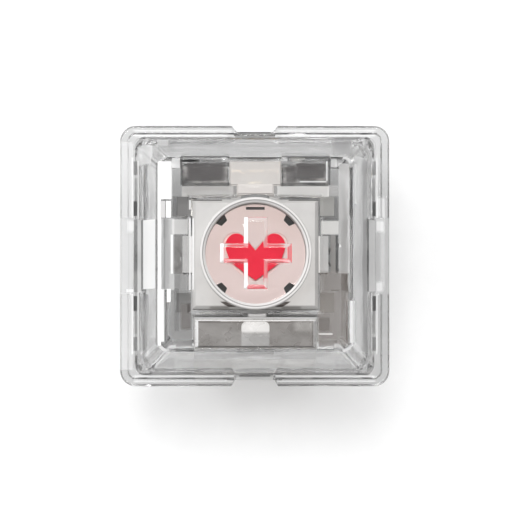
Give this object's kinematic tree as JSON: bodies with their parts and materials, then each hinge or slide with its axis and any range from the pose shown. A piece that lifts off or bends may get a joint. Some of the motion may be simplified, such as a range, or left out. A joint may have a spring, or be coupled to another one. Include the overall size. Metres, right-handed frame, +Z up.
{
  "type": "mechanical keyboard switch",
  "caption": "Clear plate-mount keyboard switch with a sliding cross stem in a round dust wall, coil spring, leaf contacts, pins and a lamp window.",
  "frame": {"origin": "on the axis of the centre post, in the plane of the circuit board's face that the tub sits on", "axes": "+Z up along the stem towards the keycap, +Y towards the contacts, +X to the right seen from above"},
  "size_m": [0.0156, 0.0152, 0.0185],
  "materials": {
    "clear_plastic": "polished clear moulding",
    "milky_plastic": "milky white moulding",
    "red_plastic": "flat red",
    "spring_steel": "drawn wire",
    "contact_metal": "tinned sheet",
    "leaf_metal": "spring bronze sheet",
    "point_metal": "plated contact metal",
    "guide_plastic": "cloudy moulding"
  },
  "bodies": {
    "housing": {"bottom_housing": "clear_plastic", "top_housing": "clear_plastic", "fixed_terminal": "contact_metal", "leaf_terminal": "contact_metal", "fixed_contact_point": "point_metal", "light_guide": "guide_plastic", "return_spring": "spring_steel"},
    "slider": {"stem": "milky_plastic", "stem_cap": "clear_plastic", "heart_plate": "red_plastic"},
    "leaf": {"contact_leaf": "leaf_metal", "leaf_contact_point": "point_metal"}
  },
  "joints": [
    {"name": "stem_press", "type": "slide", "parent": "housing", "child": "slider", "axis": [0, 0, -1], "range_m": [0, 0.004], "stiffness_N_per_m": 65, "springref_m": -0.0045, "deforming": ["return_spring"]},
    {"name": "leaf_close", "type": "hinge", "parent": "housing", "child": "leaf", "pos_m": [0, 0.00496, 0.0016], "axis": [1, 0, 0], "range_deg": [0, 5.65]}
  ],
  "couplings": [
    {"joint": "leaf_close", "follows": "stem_press", "rad_per_m": 24.629}
  ]
}
